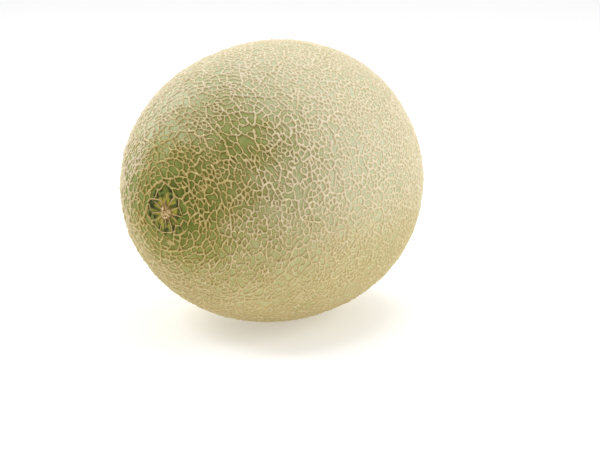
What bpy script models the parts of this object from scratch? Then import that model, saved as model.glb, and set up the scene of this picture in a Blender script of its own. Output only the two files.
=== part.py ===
"""A whole cantaloupe melon, lying on its side on its flat ground spot.

The fruit is one closed solid. Its long axis lies along X, with the blossom end at -X and the stem
end at +X. The origin is under the middle of its box, at the level that it rests on.
"""

import math

import bmesh
import bpy
from mathutils import Vector

# Driving dimensions, in metres
HALF_LENGTH = 0.0823
HALF_WIDTH = 0.0736
GROUND_SPOT_HALF_WIDTH = 0.0145
STEM_DISH_RADIUS = 0.0090
STEM_DISH_DEPTH = 0.0020
BLOSSOM_SCAR_RADIUS = 0.0050
BLOSSOM_SCAR_DEPTH = 0.0004

# Shape of the long outline: an exponent of 2 gives an ellipse, and more gives a fuller melon
FULLNESS = 2.14
BLOSSOM_TAPER = 0.048

# The cross-section is a circle with a slight two-lobed and a slight three-lobed swelling, each
# given as a share of the radius and the angle from +Y towards +Z where it is highest
SWELLINGS = (
    (2, 0.0089, math.radians(21)),
    (3, 0.0048, math.radians(-8)),
)

# Mesh density: rings from pole to pole, closer together at the poles, and segments round the axis
RINGS = 50
RING_CROWDING = 0.6
SEGMENTS = 60

RIND_COLOUR = (0.50, 0.47, 0.25, 1.0)
RIND_ROUGHNESS = 0.62


def clear_scene():
    for obj in list(bpy.data.objects):
        bpy.data.objects.remove(obj, do_unlink=True)


def rind_material():
    material = bpy.data.materials.new("melon_rind")
    material.use_nodes = True
    shader = material.node_tree.nodes["Principled BSDF"]
    shader.inputs["Base Color"].default_value = RIND_COLOUR
    shader.inputs["Roughness"].default_value = RIND_ROUGHNESS
    shader.inputs["Metallic"].default_value = 0.0
    return material


def hollow(radius, dish_radius, depth):
    """Depth of a round dish at a distance from its middle, fading smoothly to nothing."""
    if radius >= dish_radius:
        return 0.0
    return depth * 0.5 * (1.0 + math.cos(math.pi * radius / dish_radius))


def outline_point(share):
    """Point of the long outline, in the XZ plane: share 0 is the stem end, 1 the blossom end."""
    angle = math.pi * share - 0.5 * RING_CROWDING * math.sin(2.0 * math.pi * share)
    along = math.cos(angle)
    across = math.sin(angle)
    power = 2.0 / FULLNESS
    x = HALF_LENGTH * math.copysign(abs(along) ** power, along)
    radius = HALF_WIDTH * abs(across) ** power * (1.0 + BLOSSOM_TAPER * along)
    if along > 0.0:
        x -= hollow(radius, STEM_DISH_RADIUS, STEM_DISH_DEPTH)
    else:
        x += hollow(radius, BLOSSOM_SCAR_RADIUS, BLOSSOM_SCAR_DEPTH)
    return Vector((x, 0.0, radius))


def turn_outline(mesh):
    """Turn the outline round the X axis into a closed skin."""
    points = [outline_point(i / RINGS) for i in range(RINGS + 1)]
    points[0].z = 0.0
    points[-1].z = 0.0
    verts = [mesh.verts.new(point) for point in points]
    edges = [mesh.edges.new(pair) for pair in zip(verts, verts[1:])]
    bmesh.ops.spin(
        mesh,
        geom=verts + edges,
        cent=(0.0, 0.0, 0.0),
        axis=(1.0, 0.0, 0.0),
        angle=math.tau,
        steps=SEGMENTS,
        use_duplicate=False,
    )
    bmesh.ops.remove_doubles(mesh, verts=mesh.verts, dist=1e-6)


def swell_section(mesh):
    """Make the round section slightly uneven, as a melon grows."""
    for vert in mesh.verts:
        around = math.atan2(vert.co.z, vert.co.y)
        swelling = sum(size * math.cos(lobes * (around - turn)) for lobes, size, turn in SWELLINGS)
        vert.co.y *= 1.0 + swelling
        vert.co.z *= 1.0 + swelling


def cut_ground_spot(mesh):
    """Flatten the underside where the melon lay on the ground, and rests."""
    lowest = min(vert.co.z for vert in mesh.verts)
    sagitta = GROUND_SPOT_HALF_WIDTH**2 / (2.0 * HALF_WIDTH)
    cut = bmesh.ops.bisect_plane(
        mesh,
        geom=mesh.verts[:] + mesh.edges[:] + mesh.faces[:],
        dist=1e-6,
        plane_co=(0.0, 0.0, lowest + sagitta),
        plane_no=(0.0, 0.0, -1.0),
        clear_outer=True,
    )
    rim = [item for item in cut["geom_cut"] if isinstance(item, bmesh.types.BMEdge)]
    bmesh.ops.edgeloop_fill(mesh, edges=rim)


def move_to_origin(mesh):
    """Centre the box in X and Y, and set its underside at Z = 0."""
    low = Vector(min(vert.co[axis] for vert in mesh.verts) for axis in range(3))
    high = Vector(max(vert.co[axis] for vert in mesh.verts) for axis in range(3))
    middle = (low + high) / 2.0
    bmesh.ops.translate(mesh, verts=mesh.verts, vec=(-middle.x, -middle.y, -low.z))


def build_melon():
    mesh = bmesh.new()
    turn_outline(mesh)
    swell_section(mesh)
    cut_ground_spot(mesh)
    move_to_origin(mesh)
    bmesh.ops.recalc_face_normals(mesh, faces=mesh.faces)
    data = bpy.data.meshes.new("melon")
    mesh.to_mesh(data)
    mesh.free()
    data.shade_smooth()
    data.set_sharp_from_angle(angle=math.radians(40))
    data.materials.append(rind_material())
    melon = bpy.data.objects.new("melon", data)
    bpy.context.scene.collection.objects.link(melon)
    return melon


clear_scene()
build_melon()
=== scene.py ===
"""A whole netted cantaloupe melon, lying on its side on its ground spot.

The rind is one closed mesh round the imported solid. Its corky net is grown as a graph of lines over
the body: cells are scattered and gathered into patches, the borders between cells become the net's
lines, those between patches its main lines, and the rind is raised along each line. The blossom
scar, the stem scar and the ground spot have their own lines, reliefs and colours.
"""

import math

import bmesh
import bpy
import numpy as np
from mathutils import Matrix, Vector, kdtree


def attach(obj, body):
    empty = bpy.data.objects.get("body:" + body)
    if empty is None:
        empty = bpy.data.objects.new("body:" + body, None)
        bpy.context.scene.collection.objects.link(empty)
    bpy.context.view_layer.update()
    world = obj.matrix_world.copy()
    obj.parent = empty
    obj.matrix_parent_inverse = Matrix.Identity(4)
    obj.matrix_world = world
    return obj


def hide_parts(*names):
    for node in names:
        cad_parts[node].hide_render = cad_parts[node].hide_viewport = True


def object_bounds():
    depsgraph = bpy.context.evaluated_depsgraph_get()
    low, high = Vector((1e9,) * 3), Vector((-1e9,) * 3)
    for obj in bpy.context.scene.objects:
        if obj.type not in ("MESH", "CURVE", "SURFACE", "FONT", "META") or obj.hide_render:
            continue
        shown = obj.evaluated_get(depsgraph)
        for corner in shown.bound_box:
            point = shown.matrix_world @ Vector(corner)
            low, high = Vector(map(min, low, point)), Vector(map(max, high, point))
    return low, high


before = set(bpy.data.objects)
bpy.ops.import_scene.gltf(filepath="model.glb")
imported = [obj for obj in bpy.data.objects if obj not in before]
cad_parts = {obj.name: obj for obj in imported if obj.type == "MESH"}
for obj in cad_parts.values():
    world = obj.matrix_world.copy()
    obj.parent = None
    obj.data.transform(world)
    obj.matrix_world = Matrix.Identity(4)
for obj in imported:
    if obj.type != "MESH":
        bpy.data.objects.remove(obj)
cad_low, cad_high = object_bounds()

MM = 0.001
RANDOM_SEED = 7
rng = np.random.default_rng(RANDOM_SEED)

# Body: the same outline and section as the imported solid. A swelling has its number of lobes, its
# height as a share of the radius, and the angle from +Y towards +Z where it is highest.
FULLNESS = 2.14
BLOSSOM_TAPER = 0.048
SWELLINGS = ((2, 0.0089, math.radians(21)), (3, 0.0048, math.radians(-8)))
PROBES = 20000
STEM_END, BLOSSOM_END = 1.0, -1.0

# Net: distance between the middles of cells and of patches, how much longer cells are round the
# melon than along it, and how many points are tried as the middle of a cell
CELL_SPACING = 2.16 * MM
PATCH_SPACING = 6.6 * MM
CELL_STRETCH = 1.52
CANDIDATES = 240000

# Scattered cells keep this far from each end's middle, where rings of cells lie round the scar.
# A ring has its end, its radius, its number of cells, how uneven it is, and its kind of cells.
BLOSSOM_CLEAR = 15.6 * MM
STEM_CLEAR = 16.0 * MM
ORDINARY, BLOSSOM_CORE, BLOSSOM_INNER, BLOSSOM_OUTER, STEM_CORE, STEM_INNER, STEM_OUTER = range(7)
CELL_RINGS = (
    (BLOSSOM_END, 0.3 * MM, 1, 0.0, BLOSSOM_CORE),
    (BLOSSOM_END, 9.2 * MM, 13, 0.45, BLOSSOM_INNER),
    (BLOSSOM_END, 12.8 * MM, 19, 0.8, BLOSSOM_OUTER),
    (STEM_END, 0.3 * MM, 1, 0.0, STEM_CORE),
    (STEM_END, 9.4 * MM, 15, 0.6, STEM_INNER),
    (STEM_END, 13.4 * MM, 18, 0.8, STEM_OUTER),
)

# Cells are larger here: angle from the blossom end, angle round the axis, reach, growth of the
# cells, and how much greener the skin is
COARSE_PATCHES = (
    (math.radians(42), math.radians(128), 17 * MM, 0.42, 0.08),
    (math.radians(38), math.radians(76), 24 * MM, 0.24, -0.15),
    (math.radians(36), math.radians(9), 30 * MM, 0.30, 0.31),
    (math.radians(95), math.radians(-60), 22 * MM, 0.12, 0.08),
    (math.radians(70), math.radians(20), 20 * MM, 0.35, 0.10),
    (math.radians(120), math.radians(100), 18 * MM, 0.25, 0.05),
)

# Lines: half width and height of each kind, how much they vary, and how strongly they pull where
# they meet
MAIN_LINE = (0.62 * MM, 0.68 * MM)
FINE_LINE = (0.52 * MM, 0.56 * MM)
SPOKE_LINE = (0.42 * MM, 0.46 * MM)
LINE_SPREAD = 0.15
MAIN_WEIGHT, FINE_WEIGHT = 6.0, 1.0

# Chance that a border has a line, and the lines between cells of the rings round the scars
MAIN_CHANCE, FINE_CHANCE = 0.98, 0.90
RING_BORDERS = {
    frozenset({BLOSSOM_INNER}): (SPOKE_LINE, 0.65),
    frozenset({BLOSSOM_INNER, BLOSSOM_OUTER}): (FINE_LINE, 0.85),
    frozenset({BLOSSOM_OUTER}): (FINE_LINE, 0.92),
    frozenset({STEM_CORE, STEM_INNER}): (MAIN_LINE, 1.0),
}

# Spurs, second strands and spokes: the share of corners or lines that have one, the shortest line
# with a second strand, and how far they reach
SPUR_SHARE = 0.16
SPUR_REACH = (0.35, 0.7)
BOW_SHARE = 0.07
SHORTEST_BOWED = 2.2 * MM
BOW_BULGE_MM = (1.0, 1.5)
SPOKE_REACH = (1.45, 1.95)

# A line that dies out keeps this share of its width and height at its tip
TIP_WIDTH, TIP_HEIGHT = 0.55, 0.15
TAPER_START, TAPER_RATE = 0.3, 1.4

# How even the corners are, how far the lines and their edges stray, and the steps they are cut in
CORNER_EVENNESS = 0.4
WOBBLE = 0.42 * MM
RAGGEDNESS = 0.30 * MM
SAMPLE_STEP = 0.6 * MM
FINE_STEP = 0.3 * MM

# Rind: icosphere level of its mesh, lowest net level, far from all lines, and heights of its relief
SPHERE_LEVEL = 9
OPEN_SKIN_LEVEL = -6.0
SKIN_INSET = 0.45 * MM
PILLOW_HEIGHT = 0.14 * MM
GRAIN_HEIGHT = 0.11 * MM
UNEVEN_HEIGHT = 0.22 * MM

# Ground spot: how softly the body is eased into it, and its level before the skin's inset
GROUND_EASE = 0.5 * MM
GROUND_LEVEL = -0.30 * MM

# Blossom scar: a puckered disc with a crumbly corky lump in its middle
BLOSSOM_DISC_RADIUS = 8.5 * MM
BLOSSOM_DISC_DEPTH = 0.60 * MM
PUCKER_HEIGHT = 0.22 * MM
BLOSSOM_LUMP_RADIUS = 3.3 * MM
BLOSSOM_LUMP_HEIGHT = 1.25 * MM
CRUMB_HEIGHT = 0.85 * MM

# Stem scar: a dish with a raised lip, and inside it a crack, a ring of knots and a sunken core
STEM_DISH_RADIUS = 9.0 * MM
STEM_DISH_DEPTH = 2.0 * MM
STEM_LIP_RADIUS = 7.9 * MM
STEM_LIP_HEIGHT = 0.85 * MM
STEM_CRACK_RADIUS = 6.6 * MM
STEM_CRACK_DEPTH = 0.75 * MM
STEM_BUNDLES = 10
STEM_BUNDLES_RADIUS = 3.9 * MM
STEM_BUNDLES_HEIGHT = 0.45 * MM
STEM_RING_STEP = 0.9 * MM
STEM_RING_HEIGHT = 0.09 * MM
STEM_CORE_DEPTH = 0.6 * MM
STEM_GRAIN_HEIGHT = 0.26 * MM

# The rind is greenest in this direction from its middle
GREENEST = np.array([-0.93, -0.24, 0.24])

# Room that the charts of the bake map take of their squares
CHART_SHARE = 0.93


# ---------------------------------------------------------------- body shape

def unit(vectors):
    return vectors / np.linalg.norm(vectors, axis=1, keepdims=True)


def unit_body(directions):
    """Body of half length 1 and half width 1, for unit directions from its middle."""
    along = directions[:, 0]
    across = np.hypot(directions[:, 1], directions[:, 2])
    around = np.arctan2(directions[:, 2], directions[:, 1])
    power = 2.0 / FULLNESS
    x = np.sign(along) * np.abs(along) ** power
    radius = across**power * (1.0 + BLOSSOM_TAPER * along) * swelling(around)
    return np.stack([x, radius * np.cos(around), radius * np.sin(around)], axis=1)


def swelling(around):
    return 1.0 + sum(size * np.cos(lobes * (around - turn)) for lobes, size, turn in SWELLINGS)


def even_directions(count):
    """Unit directions spread evenly by a spiral."""
    index = np.arange(count)
    z = 1.0 - (2.0 * index + 1.0) / count
    turn = index * math.pi * (3.0 - math.sqrt(5.0))
    flat = np.sqrt(1.0 - z * z)
    return np.stack([flat * np.cos(turn), flat * np.sin(turn), z], axis=1)


def fit_to_box():
    """Half length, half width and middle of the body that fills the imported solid's box."""
    probe = unit_body(even_directions(PROBES))
    low, high = probe.min(axis=0), probe.max(axis=0)
    half_length = (cad_high.x - cad_low.x) / (high[0] - low[0])
    half_width = (cad_high.y - cad_low.y) / (high[1] - low[1])
    middle = np.array([
        (cad_high.x + cad_low.x) / 2.0,
        cad_high.y - half_width * high[1],
        cad_high.z - half_width * high[2],
    ])
    return half_length, half_width, middle


HALF_LENGTH, HALF_WIDTH, MIDDLE = fit_to_box()
HALVES = np.array([HALF_LENGTH, HALF_WIDTH, HALF_WIDTH])


def body_points(directions):
    """Points of the bare body, measured from its middle."""
    return unit_body(directions) * HALVES


def body_directions(points):
    """The unit directions whose body points lie under the given points."""
    unit = points / HALVES
    around = np.arctan2(unit[:, 2], unit[:, 1])
    power = FULLNESS / 2.0
    along = np.sign(unit[:, 0]) * np.abs(unit[:, 0]) ** power
    radius = np.hypot(unit[:, 1], unit[:, 2])
    radius = radius / (swelling(around) * (1.0 + BLOSSOM_TAPER * np.clip(along, -1.0, 1.0)))
    across = radius**power
    size = np.hypot(along, across)
    along, across = along / size, across / size
    return np.stack([along, across * np.cos(around), across * np.sin(around)], axis=1)


def end_distance(points, end):
    """Distance of each point from the long axis, or far away on the other half of the body."""
    radius = np.hypot(points[:, 1], points[:, 2])
    return np.where(points[:, 0] * end > 0.0, radius, 1.0)


def ring_directions(end, radius, count, turn, jitter):
    """Directions of a ring of points round one end, at a distance from the long axis."""
    around = turn + (np.arange(count) + jitter * rng.uniform(-0.5, 0.5, count)) * math.tau / count
    radius = radius * (1.0 + 0.4 * jitter * rng.uniform(-0.5, 0.5, count))
    points = np.stack([
        np.full(count, end * HALF_LENGTH),
        radius * np.cos(around),
        radius * np.sin(around),
    ], axis=1)
    return body_directions(points)


def to_growth(directions):
    """Directions on the growth sphere, where the net's stretched cells are round."""
    return turn_to_pole(directions, CELL_STRETCH)


def from_growth(directions):
    return turn_to_pole(directions, 1.0 / CELL_STRETCH)


def turn_to_pole(directions, power):
    """Move directions along their meridians, which stretches shapes evenly round the axis."""
    along = np.clip(directions[:, 0], -1.0, 1.0)
    across = np.hypot(directions[:, 1], directions[:, 2])
    half = np.arctan2(across, 1.0 + along)
    angle = 2.0 * np.arctan(np.tan(half) ** power)
    share = np.sin(angle) / np.maximum(across, 1e-9)
    return np.stack([np.cos(angle), directions[:, 1] * share, directions[:, 2] * share], axis=1)


def growth_scale(directions, grown):
    """How much smaller a length is on the growth sphere, on average, than on the melon."""
    across = np.hypot(directions[:, 1], directions[:, 2])
    grown_across = np.hypot(grown[:, 1], grown[:, 2])
    return grown_across / np.maximum(across, 1e-9) * math.sqrt(CELL_STRETCH)


# ---------------------------------------------------------------- noise

TABLES, TABLE_SIZE = 8, 32
TABLE_SHIFT = 0.37
noise_tables = rng.uniform(-1.0, 1.0, (TABLES, TABLE_SIZE, TABLE_SIZE, TABLE_SIZE))


def noise(points, size, table):
    """Smooth noise from -1 to 1, with bumps of the given size in metres."""
    place = points / size + TABLE_SHIFT * table
    corner = np.floor(place).astype(np.int64)
    part = place - corner
    part = part * part * (3.0 - 2.0 * part)
    values = noise_tables[table]
    total = np.zeros(len(points))
    for step in np.ndindex(2, 2, 2):
        weight = np.ones(len(points))
        index = []
        for axis in range(3):
            weight = weight * (part[:, axis] if step[axis] else 1.0 - part[:, axis])
            index.append((corner[:, axis] + step[axis]) % TABLE_SIZE)
        total += weight * values[index[0], index[1], index[2]]
    return total


def noise_shift(points, size, tables):
    """A smooth shift of each point in every direction, made of three noises."""
    return np.stack([noise(points, size, table) for table in tables], axis=1)


def fade(value, low, high):
    """0 below low, 1 above high, smooth between; the other way round if high is below low."""
    share = np.clip((value - low) / (high - low), 0.0, 1.0)
    return share * share * (3.0 - 2.0 * share)


def mix(a, b, share):
    return a + (b - a) * share


# ---------------------------------------------------------------- the net's graph

def patch_point(from_blossom, around):
    """The body point at an angle from the blossom end and an angle round the axis."""
    along = -math.cos(from_blossom)
    across = math.sin(from_blossom)
    direction = np.array([[along, across * math.cos(around), across * math.sin(around)]])
    return body_points(direction)[0]


def spacing_scale(points):
    """How far apart cell middles are at each point, beside the usual distance.

    Cells are uneven, smaller towards the stem end, and larger in the coarse patches and round the
    blossom scar.
    """
    scale = np.exp(0.22 * noise(points, 16 * MM, 0) + 0.40 * noise(points, 5 * MM, 1))
    scale = scale * mix(1.06, 0.86, fade(points[:, 0], -55 * MM, 15 * MM))
    for from_blossom, around, reach, growth, _ in COARSE_PATCHES:
        away = np.linalg.norm(points - patch_point(from_blossom, around), axis=1)
        scale = scale * (1.0 + growth * fade(away, reach, 0.35 * reach))
    scale = scale * (1.0 + 0.12 * fade(end_distance(points, BLOSSOM_END), 34 * MM, 18 * MM))
    return scale


def search_tree(points):
    tree = kdtree.KDTree(len(points))
    for index, point in enumerate(points):
        tree.insert(point, index)
    tree.balance()
    return tree


def scatter(candidates, spacing):
    """Indexes of candidates that keep their distance from each other."""
    tree = search_tree(candidates)
    free = np.ones(len(candidates), bool)
    kept = []
    for index, point in enumerate(candidates):
        if not free[index]:
            continue
        kept.append(index)
        for _, other, _ in tree.find_range(point, spacing[index]):
            free[other] = False
    return np.array(kept)


def random_directions(count):
    return unit(rng.normal(size=(count, 3)))


def cell_seeds():
    """Directions of the cells' middles, with the kind of each."""
    directions = random_directions(CANDIDATES)
    points = body_points(directions)
    clear = (end_distance(points, BLOSSOM_END) > BLOSSOM_CLEAR) & (
        end_distance(points, STEM_END) > STEM_CLEAR
    )
    directions, points = directions[clear], points[clear]
    grown = to_growth(directions)
    spacing = CELL_SPACING * spacing_scale(points) * growth_scale(directions, grown)
    kept = scatter(grown * HALF_WIDTH, spacing)
    seeds = [directions[kept]]
    kinds = [np.full(len(kept), ORDINARY)]
    for end, radius, count, jitter, kind in CELL_RINGS:
        seeds.append(ring_directions(end, radius, count, rng.uniform(0.0, math.tau), jitter))
        kinds.append(np.full(count, kind))
    return np.concatenate(seeds), np.concatenate(kinds)


def hull_triangles(directions):
    """Triangles of the convex hull of points on the unit sphere."""
    mesh = bmesh.new()
    for direction in directions:
        mesh.verts.new(direction)
    mesh.verts.index_update()
    bmesh.ops.convex_hull(mesh, input=mesh.verts)
    mesh.verts.ensure_lookup_table()
    triangles = np.array([[vert.index for vert in face.verts] for face in mesh.faces])
    mesh.free()
    return triangles


def border_lines(triangles):
    """Each border between two cells: its two triangles, and its two cells."""
    sides = np.concatenate([triangles[:, [0, 1]], triangles[:, [1, 2]], triangles[:, [2, 0]]])
    owner = np.tile(np.arange(len(triangles)), 3)
    sides = np.sort(sides, axis=1)
    order = np.lexsort((sides[:, 1], sides[:, 0]))
    sides, owner = sides[order], owner[order]
    same = np.all(sides[:-1] == sides[1:], axis=1)
    first = np.nonzero(same)[0]
    return np.stack([owner[first], owner[first + 1]], axis=1), sides[first]


def corner_points(grown, triangles):
    """Where cells meet: between each triangle's middle and the point as far from all three."""
    a, b, c = (grown[triangles[:, i]] for i in range(3))
    normal = unit(np.cross(b - a, c - a))
    centre = unit(a + b + c)
    normal = normal * np.sign(np.sum(normal * centre, axis=1))[:, None]
    corners = (1.0 - CORNER_EVENNESS) * normal + CORNER_EVENNESS * centre
    return body_points(from_growth(unit(corners)))


def line_style(kind_a, kind_b, main):
    """Half width and height of a border between two kinds of cells, and its chance to exist."""
    if BLOSSOM_CORE in (kind_a, kind_b):
        return SPOKE_LINE, 0.0
    usual = (MAIN_LINE, MAIN_CHANCE) if main else (FINE_LINE, FINE_CHANCE)
    return RING_BORDERS.get(frozenset((int(kind_a), int(kind_b))), usual)


def net_graph():
    """The net's corners, and its lines as (corner, corner, half width, height, is main)."""
    seeds, kinds = cell_seeds()
    seed_points = body_points(seeds)
    grown = to_growth(seeds)
    places = grown * HALF_WIDTH
    spacing = PATCH_SPACING * spacing_scale(seed_points) * growth_scale(seeds, grown)
    patches = search_tree(places[scatter(places, spacing)])
    patch_of = np.array([patches.find(place)[1] for place in places])

    triangles = hull_triangles(grown)
    ends, cells = border_lines(triangles)
    corners = corner_points(grown, triangles)
    main = patch_of[cells[:, 0]] != patch_of[cells[:, 1]]
    corners = straighten(corners, ends[main])
    corners += wobble(corners)

    points = list(corners)
    lines = []
    chances = rng.uniform(size=len(ends))
    growth = rng.uniform(1.0 - LINE_SPREAD, 1.0 + LINE_SPREAD, size=len(ends))
    for index, (start, end) in enumerate(ends):
        kind_a, kind_b = kinds[cells[index, 0]], kinds[cells[index, 1]]
        (width, height), chance = line_style(kind_a, kind_b, main[index])
        if chances[index] < chance:
            scale = growth[index]
            lines.append((start, end, width * scale, height * scale, bool(main[index])))
    add_spurs(points, lines, triangles, seed_points, kinds)
    add_bows(points, lines)
    add_spokes(points, lines, ends, cells, kinds)
    return np.array(points), lines


def straighten(corners, main_ends, rounds=3):
    """Pull corners that one main line runs through into line with it."""
    corners = corners.copy()
    degree = np.zeros(len(corners), int)
    np.add.at(degree, main_ends.ravel(), 1)
    for _ in range(rounds):
        total = np.zeros_like(corners)
        np.add.at(total, main_ends[:, 0], corners[main_ends[:, 1]])
        np.add.at(total, main_ends[:, 1], corners[main_ends[:, 0]])
        through = degree == 2
        corners[through] = 0.5 * corners[through] + 0.25 * total[through]
    return corners


def wobble(points):
    """A small smooth shift that keeps joined lines joined."""
    return WOBBLE * noise_shift(points, 3.2 * MM, (2, 3, 4))


def add_spurs(points, lines, triangles, seed_points, kinds):
    """Short lines that leave a corner and die out inside a cell."""
    chosen = np.nonzero(rng.uniform(size=len(triangles)) < SPUR_SHARE)[0]
    for triangle in chosen:
        seed = triangles[triangle, rng.integers(3)]
        reach = rng.uniform(*SPUR_REACH)
        if kinds[seed] != ORDINARY:
            continue
        width, height = FINE_LINE
        tip = points[triangle] + reach * (seed_points[seed] - points[triangle])
        points.append(tip)
        lines.append((triangle, len(points) - 1, 0.85 * width, 0.85 * height, False))


def add_bows(points, lines):
    """Second strands that leave a line, run beside it and join it again."""
    for start, end, width, height, _ in list(lines):
        span = points[end] - points[start]
        length = np.linalg.norm(span)
        chance, side = rng.uniform(), rng.choice((-1.0, 1.0))
        if chance > BOW_SHARE or length < SHORTEST_BOWED:
            continue
        middle = 0.5 * (points[start] + points[end])
        out = np.cross(span, middle)
        bulge = side * rng.uniform(*BOW_BULGE_MM) * MM
        points.append(middle + out * bulge / np.linalg.norm(out))
        lines.append((start, len(points) - 1, 0.8 * width, 0.85 * height, False))
        lines.append((len(points) - 1, end, 0.8 * width, 0.85 * height, False))


def add_spokes(points, lines, ends, cells, kinds):
    """Spokes from the blossom scar's corky middle, which join the net or die out on the disc."""
    core = np.nonzero(kinds == BLOSSOM_CORE)[0][0]
    joined = {corner for line in lines for corner in line[:2]}
    middle = np.array([-HALF_LENGTH, 0.0, 0.0])
    width, height = SPOKE_LINE
    for corner in np.unique(ends[np.any(cells == core, axis=1)]):
        out = points[corner] - middle
        reach = rng.uniform(*SPOKE_REACH)
        points.append(middle + 0.05 * out)
        lines.append((corner, len(points) - 1, 1.1 * width, 1.2 * height, True))
        if corner not in joined:
            points.append(middle + reach * out)
            lines.append((corner, len(points) - 1, width, height, True))


# ---------------------------------------------------------------- the net's lines

def sample_lines(corners, lines):
    """Cut the lines into short links. Returns points, widths, heights, links and their weights."""
    points = [tuple(corner) for corner in corners]
    degree = np.zeros(len(corners), int)
    width_of = np.zeros(len(corners))
    height_of = np.zeros(len(corners))
    for start, end, width, height, _ in lines:
        for corner in (start, end):
            degree[corner] += 1
            width_of[corner] = max(width_of[corner], width)
            height_of[corner] = max(height_of[corner], height)
    tip = degree == 1
    width_of[tip] *= TIP_WIDTH
    height_of[tip] *= TIP_HEIGHT
    widths, heights = list(width_of), list(height_of)
    links, weights = [], []
    for start, end, width, height, main in lines:
        a, b = corners[start], corners[end]
        weight = MAIN_WEIGHT if main else FINE_WEIGHT
        pieces = max(2, int(round(np.linalg.norm(b - a) / SAMPLE_STEP)))
        previous = start
        for piece in range(1, pieces):
            share = piece / pieces
            taper = 1.0
            if tip[start]:
                taper = min(taper, TAPER_START + TAPER_RATE * share)
            if tip[end]:
                taper = min(taper, TAPER_START + TAPER_RATE * (1.0 - share))
            points.append(tuple(a + (b - a) * share))
            widths.append(width * (0.6 + 0.4 * taper))
            heights.append(height * taper)
            links.append((previous, len(points) - 1))
            weights.append(weight)
            previous = len(points) - 1
        links.append((previous, end))
        weights.append(weight)
    return [np.array(values) for values in (points, widths, heights, links, weights)]


def smooth_lines(points, links, weights, rounds=2):
    """Round the corners off, leaving the tips where they are."""
    degree = np.zeros(len(points), int)
    np.add.at(degree, links.ravel(), 1)
    total_weight = np.zeros(len(points))
    np.add.at(total_weight, links[:, 0], weights)
    np.add.at(total_weight, links[:, 1], weights)
    moving = degree >= 2
    for _ in range(rounds):
        total = np.zeros_like(points)
        np.add.at(total, links[:, 0], points[links[:, 1]] * weights[:, None])
        np.add.at(total, links[:, 1], points[links[:, 0]] * weights[:, None])
        middle = total[moving] / total_weight[moving][:, None]
        points[moving] = 0.5 * points[moving] + 0.5 * middle
    return body_points(body_directions(points))


class LineField:
    """Answers how far points are from a set of lines, and how wide and high the nearest is."""

    def __init__(self, points, widths, heights, links):
        start, end = links[:, 0], links[:, 1]
        length = np.linalg.norm(points[end] - points[start], axis=1)
        counts = np.maximum(1, np.ceil(length / FINE_STEP)).astype(int)
        link = np.repeat(np.arange(len(links)), counts)
        order = np.arange(len(link)) - np.repeat(np.cumsum(counts) - counts, counts)
        share = (order + 0.5) / counts[link]
        self.along = (points[end] - points[start])[link] / np.maximum(length, 1e-9)[link][:, None]
        self.half_step = 0.5 * length[link] / counts[link]
        self.points = mix(points[start[link]], points[end[link]], share[:, None])
        self.widths = mix(widths[start[link]], widths[end[link]], share)
        self.heights = mix(heights[start[link]], heights[end[link]], share)
        self.tree = search_tree(self.points)

    def nearest(self, places):
        find = self.tree.find
        near = np.fromiter((find(place)[1] for place in places), np.int64, len(places))
        offset = places - self.points[near]
        slide = np.sum(offset * self.along[near], axis=1)
        slide = np.clip(slide, -self.half_step[near], self.half_step[near])
        away = np.linalg.norm(offset - slide[:, None] * self.along[near], axis=1)
        return away, self.widths[near], self.heights[near]


def grow_net():
    """The main lines and the fine lines, each as a field."""
    corners, lines = net_graph()
    points, widths, heights, links, weights = sample_lines(corners, lines)
    points = smooth_lines(points, links, weights)
    main = weights == MAIN_WEIGHT
    return [
        LineField(points, widths, heights, links[main]),
        LineField(points, widths, heights, links[~main]),
    ]


# ---------------------------------------------------------------- relief

def line_profile(level):
    """Height of a rounded cork line across its width: 1 on its crest, 0 at its foot."""
    inside = np.clip(level, 0.0, 1.0)
    return (1.0 - (1.0 - inside) ** 2) ** 1.15


def net_at(places, fields):
    """Height of the net, and how far into a line each place is: 1 crest, 0 foot, below 0 skin."""
    uneven = 1.0 + 0.28 * noise(places, 4 * MM, 5) + 0.32 * noise(places, 1.3 * MM, 6)
    toward_stem = fade(places[:, 0], -68 * MM, -8 * MM)
    breadth = uneven * mix(0.84, 1.06, toward_stem)
    lift = uneven * mix(1.25, 0.76, toward_stem)
    ragged = places + RAGGEDNESS * noise_shift(places, 1.15 * MM, (0, 2, 4))
    height = np.zeros(len(places))
    level = np.full(len(places), OPEN_SKIN_LEVEL)
    for field in fields:
        away, widths, heights = field.nearest(ragged)
        depth = 1.0 - away / (widths * breadth)
        height = (height**4 + (heights * lift * line_profile(depth)) ** 4) ** 0.25
        level = np.maximum(level, depth)
    return height, level


def relief(places, fields):
    """How far the rind stands out from the body at each place, with the net's level there.

    The net is flatter on the ground spot, and ends at the stem scar.
    """
    net_height, level = net_at(places, fields)
    blossom = end_distance(places, BLOSSOM_END)
    stem = end_distance(places, STEM_END)
    above_floor = places[:, 2] + MIDDLE[2]

    calm = 1.0 - 0.72 * fade(above_floor, 5.0 * MM, 1.0 * MM)
    calm *= 1.0 - fade(stem, 8.2 * MM, 6.4 * MM)
    grain = GRAIN_HEIGHT * noise(places, 1.0 * MM, 3) * fade(level, 0.0, 0.6)
    height = (net_height + grain) * calm
    height += PILLOW_HEIGHT * (1.0 - np.exp(np.minimum(level, 0.0)))
    height += UNEVEN_HEIGHT * noise(places, 15 * MM, 7)
    height += blossom_relief(places, blossom)
    height += stem_relief(places, stem)
    return height - SKIN_INSET, level * np.where(calm < 0.05, 0.0, 1.0)


def streaks(places):
    """Noise drawn out along lines that run from the middle of the blossom end."""
    around = np.arctan2(places[:, 2], places[:, 1])
    radius = np.hypot(places[:, 1], places[:, 2])
    spread = np.stack([0.3 * radius, 9 * MM * np.cos(around), 9 * MM * np.sin(around)], axis=1)
    return noise(spread, 1.7 * MM, 1)


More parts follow.
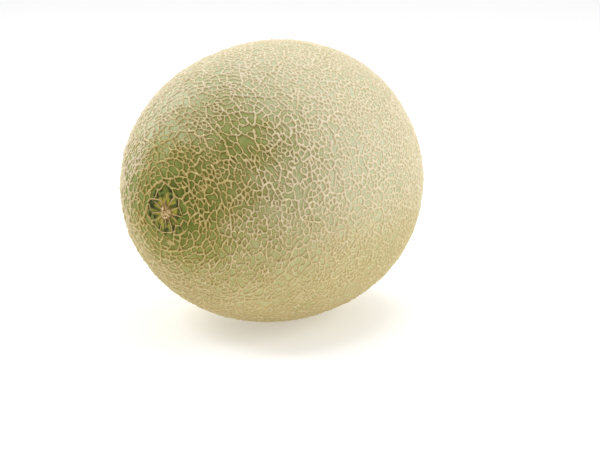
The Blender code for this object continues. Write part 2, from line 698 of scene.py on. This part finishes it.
def blossom_relief(places, radius):
    """A shallow puckered disc with a crumbly corky lump in its middle."""
    rim, lump_rim = BLOSSOM_DISC_RADIUS, BLOSSOM_LUMP_RADIUS
    disc = -BLOSSOM_DISC_DEPTH * fade(radius, 1.3 * rim, 0.6 * rim)
    pucker = PUCKER_HEIGHT * streaks(places)
    pucker *= fade(radius, 1.5 * rim, rim) * fade(radius, 0.0, 3 * MM)
    ragged = radius * (1.0 + 0.25 * noise(places, 1.8 * MM, 2))
    lump = BLOSSOM_LUMP_HEIGHT * fade(ragged, 1.15 * lump_rim, 0.55 * lump_rim)
    crumbs = CRUMB_HEIGHT * noise(places, 1.1 * MM, 3) * fade(radius, 4.0 * MM, 2.4 * MM)
    return disc + pucker + lump + crumbs


def ridge(radius, crest, half_width):
    """A round-topped ring: 1 at its crest's radius, fading to 0 on both sides."""
    return np.exp(-(((radius - crest) / half_width) ** 2))


def stem_bundles(places, radius):
    """1 on each of the ring of small knots where the stem's fibres broke off, 0 between them."""
    around = np.arctan2(places[:, 2], places[:, 1]) + 0.25 * noise(places, 3 * MM, 5)
    knots = fade(np.cos(STEM_BUNDLES * around), 0.0, 0.9)
    return knots * ridge(radius, STEM_BUNDLES_RADIUS, 0.9 * MM)


def stem_relief(places, radius):
    """The dish that the stem slipped out of, with a raised lip, a crack and a fibrous middle."""
    share = np.clip(radius / STEM_DISH_RADIUS, 0.0, 1.0)
    dish = -STEM_DISH_DEPTH * 0.5 * (1.0 + np.cos(math.pi * share))
    ragged = radius * (1.0 + 0.06 * noise(places, 3 * MM, 2))
    lip = STEM_LIP_HEIGHT * ridge(ragged, STEM_LIP_RADIUS, 0.95 * MM)
    lip *= 1.0 + 0.5 * noise(places, 2.2 * MM, 4)
    crack = -STEM_CRACK_DEPTH * ridge(ragged, STEM_CRACK_RADIUS, 0.5 * MM)
    knots = STEM_BUNDLES_HEIGHT * stem_bundles(places, radius)
    inside = fade(radius, STEM_CRACK_RADIUS, 5.6 * MM)
    rings = STEM_RING_HEIGHT * np.cos(ragged / STEM_RING_STEP * math.tau) * inside
    core = -STEM_CORE_DEPTH * fade(ragged, 1.9 * MM, 0.9 * MM)
    grain = STEM_GRAIN_HEIGHT * noise(places, 0.8 * MM, 6) * fade(radius, 8.6 * MM, 7.0 * MM)
    return dish + lip + crack + knots + rings + core + grain


# ---------------------------------------------------------------- mesh

def sphere_mesh(level):
    builder = bmesh.new()
    bmesh.ops.create_icosphere(builder, subdivisions=level, radius=1.0)
    mesh = bpy.data.meshes.new("melon_rind")
    builder.to_mesh(mesh)
    builder.free()
    return mesh


def mesh_points(mesh):
    flat = np.empty(len(mesh.vertices) * 3)
    mesh.vertices.foreach_get("co", flat)
    return flat.reshape(-1, 3)


def body_normals(directions):
    """Outward normals of the bare body, from small steps along two tangents."""
    helper = np.where(np.abs(directions[:, :1]) < 0.7, [[1.0, 0.0, 0.0]], [[0.0, 1.0, 0.0]])
    side = unit(np.cross(directions, helper))
    other = np.cross(directions, side)
    step = 1e-3
    slope_a = body_points(unit(directions + step * side)) - body_points(directions)
    slope_b = body_points(unit(directions + step * other)) - body_points(directions)
    normals = unit(np.cross(slope_a, slope_b))
    return normals * np.sign(np.sum(normals * directions, axis=1))[:, None]


def soft_floor(height):
    """Heights above the floor, eased so that the lowest come close to the ground spot's level."""
    above = (height - GROUND_LEVEL) / GROUND_EASE
    return GROUND_LEVEL + GROUND_EASE * np.logaddexp(0.0, above)


def rind_points(directions, fields):
    """The finished rind's points in the frame of the part, with the net's level at each."""
    places = body_points(directions)
    height, level = relief(places, fields)
    points = places + MIDDLE
    points[:, 2] = soft_floor(points[:, 2])
    points += body_normals(directions) * height[:, None]
    points[:, 2] = np.maximum(points[:, 2], 0.0)
    return points, level


def add_attribute(mesh, name, values):
    attribute = mesh.attributes.new(name, "FLOAT", "POINT")
    attribute.data.foreach_set("value", values.astype(np.float32))


def add_bake_map(mesh, directions):
    """A UV map of six square charts, one for each way that the rind faces."""
    count = len(mesh.polygons)
    loops = np.empty(len(mesh.loops), np.int64)
    mesh.loops.foreach_get("vertex_index", loops)
    corners = directions[loops].reshape(count, 3, 3)
    middle = corners.mean(axis=1)
    axis = np.argmax(np.abs(middle), axis=1)
    side = np.sign(middle[np.arange(count), axis])
    chart = axis * 2 + (side > 0)
    u_axis, v_axis = (axis + 1) % 3, (axis + 2) % 3
    rows = np.arange(count)[:, None]
    spots = np.arange(3)[None, :]
    depth = np.abs(corners[rows, spots, axis[:, None]])
    u = np.arctan(corners[rows, spots, u_axis[:, None]] / depth) * 4.0 / math.pi
    v = np.arctan(corners[rows, spots, v_axis[:, None]] / depth) * 4.0 / math.pi
    u = u * side[:, None]
    u = (chart[:, None] % 3 + 0.5 + 0.5 * CHART_SHARE * u) / 3.0
    v = (chart[:, None] // 3 + 0.5 + 0.5 * CHART_SHARE * v) / 2.0
    layer = mesh.uv_layers.new(name="OFBake")
    layer.data.foreach_set("uv", np.stack([u, v], axis=2).astype(np.float32).ravel())


def build_rind(fields):
    """The melon: a fine sphere shaped into the rind, with what its material needs at each point."""
    mesh = sphere_mesh(SPHERE_LEVEL)
    directions = unit(mesh_points(mesh))
    points, level = rind_points(directions, fields)
    mesh.vertices.foreach_set("co", points.astype(np.float32).ravel())
    mesh.update()
    places = body_points(directions)
    stem = end_distance(places, STEM_END)
    add_attribute(mesh, "net_level", level)
    add_attribute(mesh, "blossom_mm", end_distance(places, BLOSSOM_END) / MM)
    add_attribute(mesh, "stem_mm", stem / MM)
    add_attribute(mesh, "greenness", greenness(places))
    add_attribute(mesh, "blossom_flush", blossom_flush(places))
    add_attribute(mesh, "streaks", 0.5 + 0.5 * streaks(places))
    add_attribute(mesh, "stem_knots", stem_bundles(places, stem))
    add_bake_map(mesh, directions)
    mesh.shade_smooth()
    rind = bpy.data.objects.new("melon_rind", mesh)
    bpy.context.scene.collection.objects.link(rind)
    return rind


def blossom_flush(places):
    """How green the rind is from the flush round its blossom end alone, which tans the net too."""
    spot = GREENEST / np.linalg.norm(GREENEST)
    away = np.degrees(np.arccos(np.clip(unit(places) @ spot, -1.0, 1.0)))
    green = 0.12 + 0.46 * fade(away, 64.0, 6.0)
    green += 0.27 * fade(end_distance(places, BLOSSOM_END), 42 * MM, 12 * MM)
    return green + 0.07 * noise(places, 22 * MM, 1) + 0.08 * noise(places, 8 * MM, 4)


def greenness(places):
    """How green the skin is: most round the blossom scar, least on the ground spot."""
    green = blossom_flush(places)
    far_side = 0.20 * fade(places[:, 1], 20 * MM, 60 * MM)
    green += far_side + 0.24 * fade(places[:, 0], 35 * MM, 72 * MM)
    for from_blossom, around, reach, _, greener in COARSE_PATCHES:
        away = np.linalg.norm(places - patch_point(from_blossom, around), axis=1)
        green += greener * fade(away, 1.3 * reach, 0.3 * reach)
    ground = fade(places[:, 2] + MIDDLE[2], 22 * MM, 4 * MM)
    return np.clip(green * (1.0 - 0.85 * ground), 0.0, 1.0)


# ---------------------------------------------------------------- material

def srgb(red, green, blue):
    """A colour given in the usual 0 to 255 steps, as the linear values that a shader takes."""
    values = []
    for value in (red, green, blue):
        share = value / 255.0
        values.append(share / 12.92 if share <= 0.04045 else ((share + 0.055) / 1.055) ** 2.4)
    return (*values, 1.0)


class Nodes:
    """Short ways to add shader nodes and link them."""

    def __init__(self, material):
        material.use_nodes = True
        self.tree = material.node_tree
        self.shader = self.tree.nodes["Principled BSDF"]

    def add(self, kind, **settings):
        node = self.tree.nodes.new(kind)
        for name, value in settings.items():
            setattr(node, name, value)
        return node

    def put(self, socket, value):
        if isinstance(value, bpy.types.NodeSocket):
            self.tree.links.new(value, socket)
        else:
            socket.default_value = value

    def attribute(self, name):
        return self.add("ShaderNodeAttribute", attribute_name=name).outputs["Fac"]

    def place(self):
        return self.add("ShaderNodeTexCoord").outputs["Object"]

    def math(self, operation, a, b=0.0, c=0.0):
        node = self.add("ShaderNodeMath", operation=operation)
        for socket, value in zip(node.inputs, (a, b, c)):
            self.put(socket, value)
        return node.outputs[0]

    def fade(self, value, low, high, to_low=0.0, to_high=1.0):
        node = self.add("ShaderNodeMapRange", interpolation_type="SMOOTHSTEP")
        for socket, number in zip(node.inputs[:5], (value, low, high, to_low, to_high)):
            self.put(socket, number)
        return node.outputs[0]

    def noise(self, size, detail=2.0, roughness=0.5):
        """Noise with grains of about the given size in metres, around 0.5."""
        node = self.add("ShaderNodeTexNoise")
        self.put(node.inputs["Vector"], self.place())
        node.inputs["Scale"].default_value = 1.0 / size
        node.inputs["Detail"].default_value = detail
        node.inputs["Roughness"].default_value = roughness
        return node.outputs["Fac"]

    def spread(self, value, amount):
        """A 0 to 1 value as one around 0, from -amount/2 to amount/2."""
        return self.math("MULTIPLY_ADD", value, amount, -0.5 * amount)

    def mix(self, share, a, b, blend="MIX"):
        node = self.add("ShaderNodeMix", data_type="RGBA", blend_type=blend)
        self.put(node.inputs["Factor"], share)
        self.put(node.inputs[6], a)
        self.put(node.inputs[7], b)
        return node.outputs[2]

    def ramp(self, value, stops):
        node = self.add("ShaderNodeValToRGB")
        elements = node.color_ramp.elements
        while len(elements) < len(stops):
            elements.new(0.5)
        for element, (position, colour) in zip(elements, stops):
            element.position = position
            element.color = colour
        self.put(node.inputs["Fac"], value)
        return node.outputs["Color"]

    def bump(self, height, distance, strength, normal=None):
        node = self.add("ShaderNodeBump")
        node.inputs["Distance"].default_value = distance
        node.inputs["Strength"].default_value = strength
        self.put(node.inputs["Height"], height)
        if normal is not None:
            self.put(node.inputs["Normal"], normal)
        return node.outputs["Normal"]


PALE_SKIN = srgb(212, 212, 183)
MID_SKIN = srgb(158, 161, 96)
GREEN_SKIN = srgb(116, 127, 54)
DARK_SKIN = srgb(80, 92, 26)
SAGE_SKIN = srgb(178, 184, 148)
SAGE_TINT = srgb(236, 252, 250)
GROUND_SKIN = srgb(226, 214, 162)
SKIN_EDGE_SHADE = srgb(200, 192, 160)
CORK = srgb(196, 186, 117)
PALE_CORK = srgb(226, 220, 196)
PALE_CORK_AND_CREST_HIGHLIGHT = srgb(240, 234, 210)
BROWN_CORK_AND_FOOT_SHADE = srgb(176, 142, 86)
PALE_FOOT_SHADE = srgb(212, 187, 134)
SCAR_SKIN = srgb(158, 152, 58)
SCAR_STREAK = srgb(76, 82, 26)
SCAR_RING = srgb(36, 42, 6)
SPOKE_CORK = srgb(196, 166, 118)
LUMP_CORK = srgb(202, 174, 116)
LUMP_CREST_HIGHLIGHT = srgb(242, 230, 198)
LUMP_STAIN_AND_FOOT_SHADE = srgb(116, 86, 42)
DARK_PIT_SHADE = srgb(42, 28, 14)
STEM_SCAR = srgb(205, 184, 140)
STEM_DARK_AND_CRACK_SHADE = srgb(96, 74, 40)
LOW_SKIN_YELLOWING_AND_BOUNCE = srgb(250, 241, 214)


def low_side_yellowing_and_bounce(nodes):
    """1 on the melon's low side and 0 on its upper half. The low side is yellower with a tanner net,
    partly as ripening and partly as painted warm bounce light.
    """
    split = nodes.add("ShaderNodeSeparateXYZ")
    nodes.put(split.inputs[0], nodes.place())
    return nodes.fade(split.outputs["Z"], 95 * MM, 30 * MM)


def skin_colour(nodes, level):
    """Mottled green skin, sage far from the net's lines, with painted shade beside them."""
    green = nodes.attribute("greenness")
    mottled = nodes.math("ADD", green, nodes.spread(nodes.noise(3.0 * MM, 4.0, 0.6), 0.38))
    mottled = nodes.math("ADD", mottled, nodes.spread(nodes.noise(0.7 * MM, 3.0, 0.6), 0.34))
    stops = (
        (0.0, GROUND_SKIN),
        (0.04, PALE_SKIN),
        (0.52, MID_SKIN),
        (0.80, GREEN_SKIN),
        (1.0, DARK_SKIN),
    )
    colour = nodes.ramp(mottled, stops)
    sage = nodes.fade(green, 0.7, 0.4, 0.0, 0.35)
    sage = nodes.math("MULTIPLY", nodes.fade(level, -0.8, -2.2), sage)
    colour = nodes.mix(sage, colour, SAGE_SKIN)
    open_skin = nodes.fade(level, -0.7, -1.8, 0.0, 0.25)
    colour = nodes.mix(open_skin, colour, SAGE_TINT, "MULTIPLY")
    # Painted shade: the skin beside the net's lines is darker and browner, most where it is green.
    edge = nodes.fade(green, 0.2, 0.6, 0.5, 0.95)
    edge = nodes.math("MULTIPLY", nodes.fade(level, -0.9, 0.0), edge)
    colour = nodes.mix(edge, colour, SKIN_EDGE_SHADE, "MULTIPLY")
    # The low side is tinted yellower: partly ripening, partly painted warm bounce light.
    return nodes.mix(low_side_yellowing_and_bounce(nodes), colour, LOW_SKIN_YELLOWING_AND_BOUNCE, "MULTIPLY")


def cork_colour(nodes, level):
    """Tan cork, paler away from the blossom end, darker and browner at its foot as painted shade,
    and palest on its crest as a painted highlight.
    """
    pale = nodes.fade(nodes.attribute("blossom_flush"), 0.78, 0.20)
    pale = nodes.math("ADD", pale, nodes.spread(nodes.noise(4.0 * MM, 3.0, 0.6), 0.4))
    # The net is tanner on the low side: partly ripening, partly painted warm bounce light.
    tan_and_bounce = nodes.fade(low_side_yellowing_and_bounce(nodes), 0.0, 1.0, 1.0, 0.4)
    pale = nodes.math("MULTIPLY", nodes.fade(pale, 0.0, 1.0), tan_and_bounce)
    body = nodes.mix(pale, CORK, PALE_CORK)
    # Painted shade: the foot of each line is browner and darker than its body.
    foot = nodes.mix(pale, BROWN_CORK_AND_FOOT_SHADE, PALE_FOOT_SHADE)
    colour = nodes.mix(nodes.fade(level, 0.60, 0.10, 0.0, 0.85), body, foot)
    worn = nodes.fade(nodes.noise(0.6 * MM, 3.0, 0.7), 0.62, 0.38, 0.0, 0.45)
    colour = nodes.mix(worn, colour, foot)
    # Painted highlight: the crest of each line is paler.
    crest = nodes.fade(nodes.noise(1.4 * MM, 2.0), 0.35, 0.65, 0.1, 0.65)
    crest = nodes.math("MULTIPLY", nodes.fade(level, 0.55, 0.95), crest)
    crest = nodes.math("MULTIPLY", crest, nodes.fade(pale, 0.0, 0.7, 0.7, 1.0))
    return nodes.mix(crest, colour, PALE_CORK_AND_CREST_HIGHLIGHT)


def blossom_colour(nodes, colour):
    """The blossom scar's olive disc with its fine streaks, and the dark pockets round it."""
    radius = nodes.attribute("blossom_mm")
    ragged = nodes.math("ADD", radius, nodes.spread(nodes.noise(2.5 * MM, 3.0), 3.0))
    streak = nodes.spread(nodes.noise(1.0 * MM, 2.0), 0.4)
    streak = nodes.math("ADD", nodes.attribute("streaks"), streak)
    disc = nodes.mix(nodes.fade(streak, 0.40, 0.68), SCAR_SKIN, SCAR_STREAK)
    ring = nodes.math("MULTIPLY", nodes.fade(ragged, 7.0, 8.8), nodes.fade(ragged, 13.5, 11.0))
    pockets = nodes.fade(nodes.noise(3.2 * MM, 1.0), 0.46, 0.56, 0.05, 0.92)
    colour = nodes.mix(nodes.fade(ragged, 10.5, 7.5), colour, disc)
    return nodes.mix(nodes.math("MULTIPLY", ring, pockets), colour, SCAR_RING)


def spoke_colour(nodes, cork):
    """The net's cork, browner on the spokes of the blossom scar."""
    near = nodes.fade(nodes.attribute("blossom_mm"), 12.0, 8.0, 0.0, 0.8)
    return nodes.mix(near, cork, SPOKE_CORK)


def lump_colour(nodes, colour):
    """The crumbly lump in the middle of the blossom scar, with painted highlights and painted shade
    in its pits, and a brown ring round it that is partly stain and partly painted shade at its foot.
    """
    radius = nodes.attribute("blossom_mm")
    ragged = nodes.math("ADD", radius, nodes.spread(nodes.noise(1.5 * MM, 3.0), 2.0))
    crumbs = nodes.noise(1.1 * MM, 3.0, 0.7)
    # The crumbs' palest colour is a painted highlight and their darkest is painted shade in the
    # pits.
    stops = ((0.38, DARK_PIT_SHADE), (0.44, BROWN_CORK_AND_FOOT_SHADE), (0.52, LUMP_CORK), (0.63, LUMP_CREST_HIGHLIGHT))
    # A brown ring round the lump's foot: partly stain, partly painted shade.
    colour = nodes.mix(nodes.fade(ragged, 5.6, 3.4, 0.0, 0.55), colour, LUMP_STAIN_AND_FOOT_SHADE)
    return nodes.mix(nodes.fade(ragged, 3.8, 3.0), colour, nodes.ramp(crumbs, stops))


def stem_colour(nodes, colour):
    """The stem scar's corky floor with its darker knots and darker sunken middle, and the crack
    round it, darkened with painted shade.
    """
    radius = nodes.attribute("stem_mm")
    ragged = nodes.math("ADD", radius, nodes.spread(nodes.noise(2.0 * MM, 3.0), 1.2))
    grain = nodes.noise(0.8 * MM, 4.0, 0.7)
    stops = ((0.32, STEM_DARK_AND_CRACK_SHADE), (0.42, BROWN_CORK_AND_FOOT_SHADE), (0.52, STEM_SCAR), (0.68, PALE_CORK_AND_CREST_HIGHLIGHT))
    scar = nodes.ramp(grain, stops)
    knots = nodes.fade(nodes.attribute("stem_knots"), 0.2, 0.8, 0.0, 0.6)
    scar = nodes.mix(knots, scar, BROWN_CORK_AND_FOOT_SHADE)
    scar = nodes.mix(nodes.fade(ragged, 2.0, 1.2, 0.0, 0.75), scar, STEM_DARK_AND_CRACK_SHADE)
    # Painted shade: the crack round the scar's floor is darkened.
    crack = nodes.math("MULTIPLY", nodes.fade(ragged, 5.8, 6.6), nodes.fade(ragged, 7.4, 6.8))
    colour = nodes.mix(nodes.fade(ragged, 7.2, 6.6), colour, scar)
    return nodes.mix(nodes.math("MULTIPLY", crack, 0.85), colour, STEM_DARK_AND_CRACK_SHADE)


def rind_material():
    material = bpy.data.materials.new("melon_rind")
    nodes = Nodes(material)
    level = nodes.attribute("net_level")
    edge = nodes.math("ADD", level, nodes.spread(nodes.noise(0.9 * MM, 3.0, 0.65), 0.5))
    on_cork = nodes.fade(edge, -0.04, 0.16)

    skin = blossom_colour(nodes, skin_colour(nodes, level))
    cork = spoke_colour(nodes, cork_colour(nodes, level))
    colour = nodes.mix(on_cork, skin, cork)
    colour = lump_colour(nodes, colour)
    colour = stem_colour(nodes, colour)
    nodes.put(nodes.shader.inputs["Base Color"], colour)

    skin_rough = nodes.fade(nodes.noise(1.5 * MM, 3.0), 0.3, 0.7, 0.46, 0.62)
    roughness = nodes.add("ShaderNodeMix", data_type="FLOAT")
    nodes.put(roughness.inputs[0], on_cork)
    nodes.put(roughness.inputs[2], skin_rough)
    nodes.put(roughness.inputs[3], 0.86)
    nodes.put(nodes.shader.inputs["Roughness"], roughness.outputs[0])
    nodes.shader.inputs["Specular IOR Level"].default_value = 0.14

    cork_grain = nodes.math("MULTIPLY", nodes.noise(0.45 * MM, 4.0, 0.65), on_cork)
    normal = nodes.bump(cork_grain, 0.12 * MM, 0.8)
    skin_grain = nodes.noise(0.25 * MM, 2.0)
    normal = nodes.bump(skin_grain, 0.02 * MM, 0.5, normal)
    nodes.put(nodes.shader.inputs["Normal"], normal)
    return material


# ---------------------------------------------------------------- floor, light and camera

WHITE = (1.0, 1.0, 1.0, 1.0)
FLOOR_HALF_WIDTH = 6.0
FLOOR_WHITE = 0.80
FLOOR_DULL = 0.99 * FLOOR_WHITE
FLOOR_ROUGHNESS = 0.9
FLOOR_GLOW = 0.33

# The camera looks across the body's middle, which lies this far right of the picture's middle and
# above it, in the camera's own directions
CAMERA_AZIMUTH = math.radians(-51.5)
CAMERA_ELEVATION = math.radians(15.0)
CAMERA_DISTANCE = 0.9
CAMERA_LENS = 103.0
CAMERA_SENSOR = 36.0
OFF_RIGHT, OFF_UP = -15.2 * MM, 22.8 * MM

# Soft lights: place to the right of the body's middle, above it and towards the camera, width,
# height, power in watts, and colour. The low fill is faint and warm.
LIGHTS = {
    "top_softbox": (0.25, 0.95, -0.05, 0.36, 0.36, 2.8, WHITE),
    "right_softbox": (0.95, 0.45, 0.0, 0.4, 0.5, 2.8, WHITE),
    "upper_left_softbox": (-0.65, 0.75, 0.0, 0.4, 0.4, 3.0, WHITE),
    "left_rim": (-0.85, 0.25, -0.45, 0.4, 0.7, 3.4, WHITE),
    "low_fill": (0.0, -0.04, 0.42, 0.22, 0.1, 0.14, (1.0, 0.62, 0.2, 1.0)),
}

# Light tent: its strength all round, and in front, where it is dimmer about a direction that lies
# this far to the left of the camera's and above it
SURROUND_LIGHT = 0.80
FRONT_LIGHT = 0.30
FRONT_LEFT, FRONT_UP = 0.25, 0.1
FRONT_CORE = 0.9

view_right = Vector((math.cos(CAMERA_AZIMUTH), math.sin(CAMERA_AZIMUTH), 0.0))
level_ahead = Vector((-math.sin(CAMERA_AZIMUTH), math.cos(CAMERA_AZIMUTH), 0.0))
straight_up = Vector((0.0, 0.0, 1.0))
ahead = level_ahead * math.cos(CAMERA_ELEVATION) - straight_up * math.sin(CAMERA_ELEVATION)
view_up = view_right.cross(ahead)
body_middle = Vector(MIDDLE)


def floor_material():
    """Plain pale paper, very slightly uneven, with the glow of a light tent's floor."""
    material = bpy.data.materials.new("floor")
    nodes = Nodes(material)
    uneven = nodes.fade(nodes.noise(0.4, 2.0), 0.3, 0.7)
    clean, dull = [(white, white, white, 1.0) for white in (FLOOR_WHITE, FLOOR_DULL)]
    nodes.put(nodes.shader.inputs["Base Color"], nodes.mix(uneven, clean, dull))
    nodes.shader.inputs["Roughness"].default_value = FLOOR_ROUGHNESS
    nodes.shader.inputs["Emission Color"].default_value = WHITE
    nodes.shader.inputs["Emission Strength"].default_value = FLOOR_GLOW
    return material


def add_floor():
    mesh = bmesh.new()
    bmesh.ops.create_grid(mesh, x_segments=1, y_segments=1, size=FLOOR_HALF_WIDTH)
    data = bpy.data.meshes.new("floor")
    mesh.to_mesh(data)
    mesh.free()
    data.materials.append(floor_material())
    floor = bpy.data.objects.new("floor", data)
    bpy.context.scene.collection.objects.link(floor)


def add_camera():
    data = bpy.data.cameras.new("camera")
    data.lens = CAMERA_LENS
    data.sensor_width = CAMERA_SENSOR
    camera = bpy.data.objects.new("camera", data)
    place = body_middle - view_right * OFF_RIGHT - view_up * OFF_UP - ahead * CAMERA_DISTANCE
    turn = Matrix((view_right, view_up, -ahead)).transposed().to_4x4()
    camera.matrix_world = Matrix.Translation(place) @ turn
    bpy.context.scene.collection.objects.link(camera)
    bpy.context.scene.camera = camera


def add_area_light(name, right, up, toward_camera, width, height, power, colour):
    """A soft light placed by the camera's level directions from the melon, aimed at it."""
    data = bpy.data.lights.new(name, "AREA")
    data.shape = "RECTANGLE"
    data.size = width
    data.size_y = height
    data.energy = power
    data.color = colour[:3]
    light = bpy.data.objects.new(name, data)
    place = body_middle + view_right * right - level_ahead * toward_camera + straight_up * up
    light.location = place
    light.rotation_euler = (body_middle - place).to_track_quat("-Z", "Y").to_euler()
    light.visible_camera = False
    bpy.context.scene.collection.objects.link(light)


def add_lights():
    for name, settings in LIGHTS.items():
        add_area_light(name, *settings)
    bpy.context.scene.world = studio_world()
    bpy.context.scene.view_settings.view_transform = "Standard"


def studio_world():
    """White all round to the eye, and as a light dimmer from the front, as in a light tent."""
    world = bpy.data.worlds.new("studio")
    world.use_nodes = True
    tree = world.node_tree
    background = tree.nodes["Background"]
    background.inputs["Color"].default_value = WHITE
    front = -level_ahead * math.cos(CAMERA_ELEVATION) - view_right * FRONT_LEFT
    front = (front + straight_up * FRONT_UP).normalized()
    facing = tree.nodes.new("ShaderNodeVectorMath")
    facing.operation = "DOT_PRODUCT"
    direction = tree.nodes.new("ShaderNodeTexCoord").outputs["Generated"]
    tree.links.new(direction, facing.inputs[0])
    facing.inputs[1].default_value = front
    strength = tree.nodes.new("ShaderNodeMapRange")
    strength.interpolation_type = "SMOOTHSTEP"
    tree.links.new(facing.outputs["Value"], strength.inputs["Value"])
    strength.inputs["From Min"].default_value = 0.0
    strength.inputs["From Max"].default_value = FRONT_CORE
    strength.inputs["To Min"].default_value = SURROUND_LIGHT
    strength.inputs["To Max"].default_value = FRONT_LIGHT
    seen = tree.nodes.new("ShaderNodeMix")
    to_eye = tree.nodes.new("ShaderNodeLightPath").outputs["Is Camera Ray"]
    tree.links.new(to_eye, seen.inputs[0])
    tree.links.new(strength.outputs["Result"], seen.inputs[2])
    seen.inputs[3].default_value = 1.0
    tree.links.new(seen.outputs[0], background.inputs["Strength"])
    return world


# ---------------------------------------------------------------- build

rind = build_rind(grow_net())
rind.data.materials.append(rind_material())
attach(rind, "root")
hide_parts("melon")
add_floor()
add_camera()
add_lights()

bpy.context.view_layer.update()
